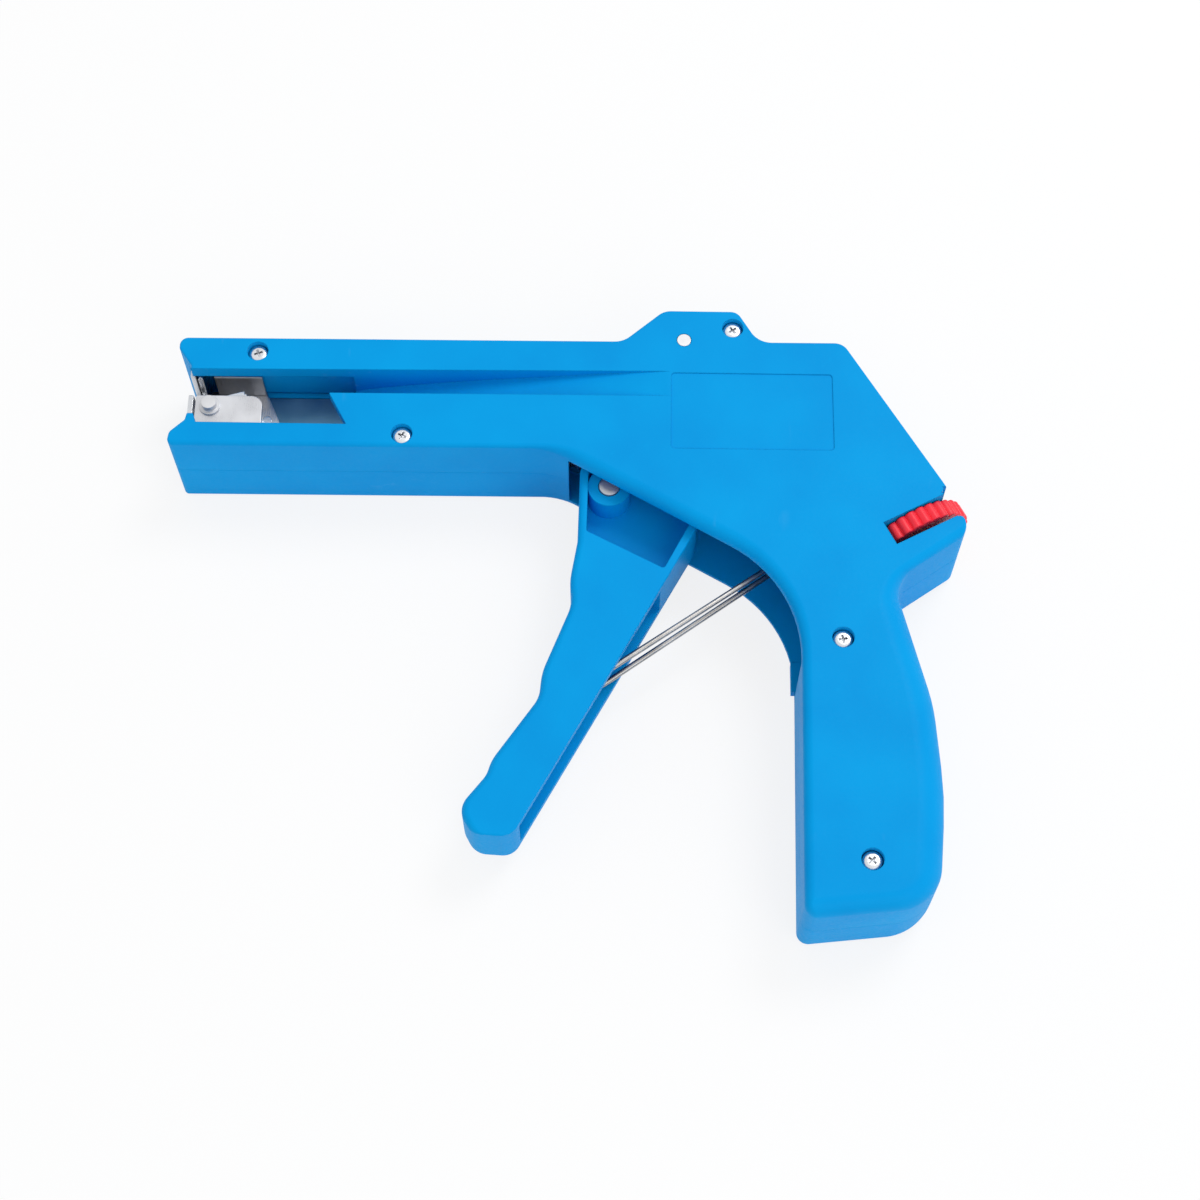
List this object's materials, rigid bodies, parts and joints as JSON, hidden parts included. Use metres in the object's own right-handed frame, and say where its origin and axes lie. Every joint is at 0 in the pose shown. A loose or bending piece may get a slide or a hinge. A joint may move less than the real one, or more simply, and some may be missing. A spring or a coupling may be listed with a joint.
{
  "type": "cable tie tensioning tool",
  "caption": "Pistol-grip hand tool that pulls a cable tie tight with a toothed gripper and cuts its tail flush, with a knob for the tension.",
  "frame": {"origin": "on the right side face, straight under the trigger's pivot pin along the barrel's height, on the barrel's centre line", "axes": "+X from the nose to the back, +Y from the grip to the barrel, +Z from the right shell's side face to the left shell's"},
  "size_m": [0.1679, 0.1326, 0.024],
  "materials": {
    "blue_plastic": "fine moulded grain, satin",
    "red_plastic": "satin moulded plastic",
    "bright_steel": "bright zinc-plated steel",
    "dark_steel": "dark oiled steel",
    "spring_steel": "drawn spring wire",
    "brass": "turned brass"
  },
  "bodies": {
    "housing": {"housing_left": "blue_plastic", "housing_right": "blue_plastic", "housing_screws": "bright_steel", "trigger_pivot_pin": "bright_steel", "nose_plate": "bright_steel", "return_spring_pin": "bright_steel", "thrust_washer": "bright_steel"},
    "trigger": {"trigger": "blue_plastic", "link_pin": "bright_steel"},
    "pull_carriage": {"link_front_pin": "bright_steel", "pull_bar": "dark_steel", "gripper_carriage": "bright_steel", "carriage_rivets": "bright_steel", "pawl_pin": "bright_steel", "pawl_spring": "spring_steel"},
    "link": {"pull_link": "bright_steel"},
    "pawl": {"gripper_pawl": "bright_steel"},
    "lever": {"cutter_lever": "bright_steel", "spring_post": "bright_steel"},
    "blade": {"cutter_blade": "bright_steel"},
    "knob": {"tension_knob": "red_plastic", "knob_insert": "brass"},
    "rod": {"tension_rod": "bright_steel", "tension_spring": "spring_steel"},
    "return_spring": {"return_spring": "spring_steel"}
  },
  "joints": [
    {"name": "trigger_hinge", "type": "hinge", "parent": "housing", "child": "trigger", "pos_m": [0, 0.0135, 0.012], "axis": [0, 0, 1], "range_deg": [0, 26], "stiffness_Nm_per_rad": 0.5, "springref_deg": -17.19},
    {"name": "bar_slide", "type": "slide", "parent": "housing", "child": "pull_carriage", "axis": [1, 0, 0], "range_m": [0, 0.0195]},
    {"name": "link_hinge", "type": "hinge", "parent": "pull_carriage", "child": "link", "pos_m": [-0.038, -0.003, 0.008], "axis": [0, 0, 1], "range_deg": [-12, 0]},
    {"name": "pawl_hinge", "type": "hinge", "parent": "pull_carriage", "child": "pawl", "pos_m": [-0.1005, -0.0022, 0.016], "axis": [0, 0, 1], "range_deg": [0, 18]},
    {"name": "lever_hinge", "type": "hinge", "parent": "housing", "child": "lever", "pos_m": [0, 0.0135, 0.0043], "axis": [0, 0, 1], "range_deg": [0, 2.4], "stiffness_Nm_per_rad": 0.6, "springref_deg": -2.86},
    {"name": "blade_slide", "type": "slide", "parent": "housing", "child": "blade", "axis": [0, -1, 0], "range_m": [0, 0.0044]},
    {"name": "knob_hinge", "type": "hinge", "parent": "housing", "child": "knob", "pos_m": [0.04927, -0.02802, 0.012], "axis": [0.4679, -0.8838, 0], "range_deg": [-540.1, 540.1]},
    {"name": "rod_slide", "type": "slide", "parent": "housing", "child": "rod", "axis": [0.4679, -0.8838, 0], "range_m": [-0.0012, 0.0012], "deforming": ["tension_spring"]},
    {"name": "return_spring_hinge", "type": "hinge", "parent": "housing", "child": "return_spring", "pos_m": [0.028, -0.0248, 0.012], "axis": [0, 0, 1], "range_deg": [0, 38]}
  ],
  "couplings": [
    {"joint": "bar_slide", "follows": "trigger_hinge", "m_per_rad": 0.04175},
    {"joint": "link_hinge", "follows": "trigger_hinge", "ratio": -0.435},
    {"joint": "pawl_hinge", "follows": "trigger_hinge", "ratio": 0.65},
    {"joint": "return_spring_hinge", "follows": "trigger_hinge", "ratio": 1.43},
    {"joint": "blade_slide", "follows": "lever_hinge", "m_per_rad": 0.1033},
    {"joint": "knob_hinge", "follows": "rod_slide", "rad_per_m": 7854}
  ]
}
